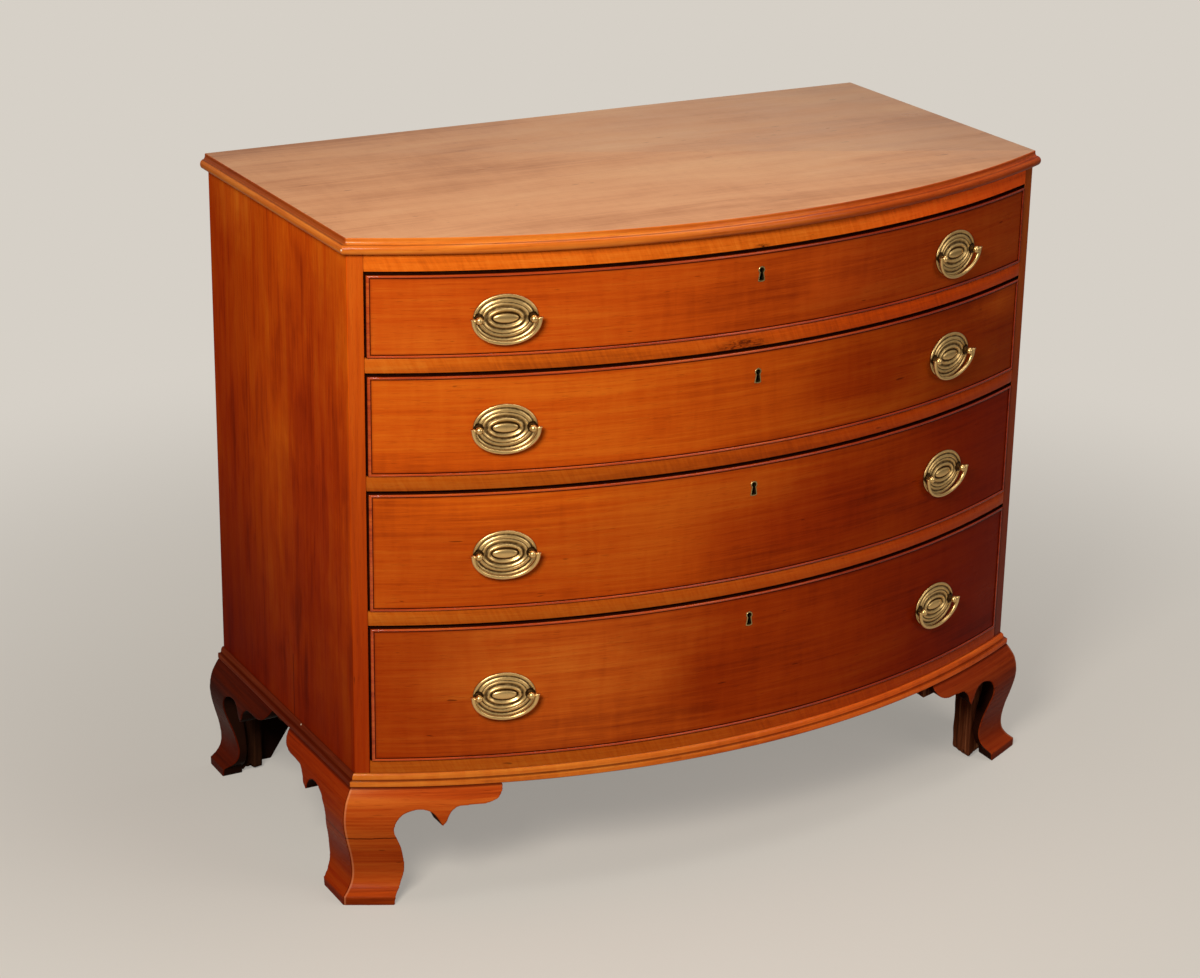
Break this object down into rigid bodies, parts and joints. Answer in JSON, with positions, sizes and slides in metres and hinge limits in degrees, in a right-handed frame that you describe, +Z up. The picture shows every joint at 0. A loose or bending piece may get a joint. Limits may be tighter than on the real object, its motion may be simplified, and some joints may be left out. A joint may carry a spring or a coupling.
{
  "type": "bow front chest of drawers",
  "caption": "Bow front chest of drawers with a moulded top, cockbeaded drawers with oval bail pulls and lined keyholes, and ogee bracket feet.",
  "frame": {"origin": "on the floor, under the middle of the chest's overall box", "axes": "+X to the right as seen from in front, +Y towards the back, +Z up; the drawers open towards -Y"},
  "size_m": [1.0024, 0.5548, 0.836],
  "materials": {
    "top_wood": "cherry, satin varnish, faded tan",
    "side_wood": "cherry, satin varnish, red-brown",
    "front_wood": "cherry, satin varnish, orange-red",
    "rail_wood": "cherry, satin varnish, light orange",
    "moulding_wood": "cherry, satin varnish",
    "foot_wood": "cherry, satin varnish, darker below",
    "inner_wood": "bare poplar and pine, aged",
    "pull_brass": "antique brass, dark in the hollows",
    "lock_brass": "dull old brass"
  },
  "bodies": {
    "case": {"top_board": "top_wood", "left_side": "side_wood", "right_side": "side_wood", "back_panel": "inner_wood", "top_rail": "rail_wood", "divider_rail_1": "rail_wood", "divider_rail_2": "rail_wood", "divider_rail_3": "rail_wood", "bottom_rail": "rail_wood", "dust_board_1": "inner_wood", "dust_board_2": "inner_wood", "dust_board_3": "inner_wood", "case_bottom": "inner_wood", "base_moulding_front": "moulding_wood", "base_moulding_left": "moulding_wood", "base_moulding_right": "moulding_wood", "foot_front_left": "foot_wood", "foot_front_right": "foot_wood", "foot_rear_left": "foot_wood", "foot_rear_right": "foot_wood"},
    "drawer_1": {"drawer_1_front": "front_wood", "drawer_1_left_side": "inner_wood", "drawer_1_right_side": "inner_wood", "drawer_1_back": "inner_wood", "drawer_1_bottom": "inner_wood", "drawer_1_lock": "lock_brass", "drawer_1_pull_plate_left": "pull_brass", "drawer_1_pull_plate_right": "pull_brass"},
    "drawer_2": {"drawer_2_front": "front_wood", "drawer_2_left_side": "inner_wood", "drawer_2_right_side": "inner_wood", "drawer_2_back": "inner_wood", "drawer_2_bottom": "inner_wood", "drawer_2_lock": "lock_brass", "drawer_2_pull_plate_left": "pull_brass", "drawer_2_pull_plate_right": "pull_brass"},
    "drawer_3": {"drawer_3_front": "front_wood", "drawer_3_left_side": "inner_wood", "drawer_3_right_side": "inner_wood", "drawer_3_back": "inner_wood", "drawer_3_bottom": "inner_wood", "drawer_3_lock": "lock_brass", "drawer_3_pull_plate_left": "pull_brass", "drawer_3_pull_plate_right": "pull_brass"},
    "drawer_4": {"drawer_4_front": "front_wood", "drawer_4_left_side": "inner_wood", "drawer_4_right_side": "inner_wood", "drawer_4_back": "inner_wood", "drawer_4_bottom": "inner_wood", "drawer_4_lock": "lock_brass", "drawer_4_pull_plate_left": "pull_brass", "drawer_4_pull_plate_right": "pull_brass"},
    "bail_1_left": {"drawer_1_bail_left": "pull_brass"},
    "bail_1_right": {"drawer_1_bail_right": "pull_brass"},
    "bail_2_left": {"drawer_2_bail_left": "pull_brass"},
    "bail_2_right": {"drawer_2_bail_right": "pull_brass"},
    "bail_3_left": {"drawer_3_bail_left": "pull_brass"},
    "bail_3_right": {"drawer_3_bail_right": "pull_brass"},
    "bail_4_left": {"drawer_4_bail_left": "pull_brass"},
    "bail_4_right": {"drawer_4_bail_right": "pull_brass"}
  },
  "joints": [
    {"name": "drawer_1_slide", "type": "slide", "parent": "case", "child": "drawer_1", "axis": [0, -1, 0], "range_m": [0, 0.33]},
    {"name": "drawer_2_slide", "type": "slide", "parent": "case", "child": "drawer_2", "axis": [0, -1, 0], "range_m": [0, 0.33]},
    {"name": "drawer_3_slide", "type": "slide", "parent": "case", "child": "drawer_3", "axis": [0, -1, 0], "range_m": [0, 0.33]},
    {"name": "drawer_4_slide", "type": "slide", "parent": "case", "child": "drawer_4", "axis": [0, -1, 0], "range_m": [0, 0.33]},
    {"name": "bail_1_left_hinge", "type": "hinge", "parent": "drawer_1", "child": "bail_1_left", "pos_m": [-0.31588, -0.22914, 0.73875], "axis": [-0.953, 0.303, 0], "range_deg": [0, 180]},
    {"name": "bail_1_right_hinge", "type": "hinge", "parent": "drawer_1", "child": "bail_1_right", "pos_m": [0.31588, -0.22914, 0.73875], "axis": [-0.953, -0.303, 0], "range_deg": [0, 180]},
    {"name": "bail_2_left_hinge", "type": "hinge", "parent": "drawer_2", "child": "bail_2_left", "pos_m": [-0.31588, -0.22914, 0.606], "axis": [-0.953, 0.303, 0], "range_deg": [0, 180]},
    {"name": "bail_2_right_hinge", "type": "hinge", "parent": "drawer_2", "child": "bail_2_right", "pos_m": [0.31588, -0.22914, 0.606], "axis": [-0.953, -0.303, 0], "range_deg": [0, 180]},
    {"name": "bail_3_left_hinge", "type": "hinge", "parent": "drawer_3", "child": "bail_3_left", "pos_m": [-0.31588, -0.22914, 0.44875], "axis": [-0.953, 0.303, 0], "range_deg": [0, 180]},
    {"name": "bail_3_right_hinge", "type": "hinge", "parent": "drawer_3", "child": "bail_3_right", "pos_m": [0.31588, -0.22914, 0.44875], "axis": [-0.953, -0.303, 0], "range_deg": [0, 180]},
    {"name": "bail_4_left_hinge", "type": "hinge", "parent": "drawer_4", "child": "bail_4_left", "pos_m": [-0.31588, -0.22914, 0.266], "axis": [-0.953, 0.303, 0], "range_deg": [0, 180]},
    {"name": "bail_4_right_hinge", "type": "hinge", "parent": "drawer_4", "child": "bail_4_right", "pos_m": [0.31588, -0.22914, 0.266], "axis": [-0.953, -0.303, 0], "range_deg": [0, 180]}
  ]
}
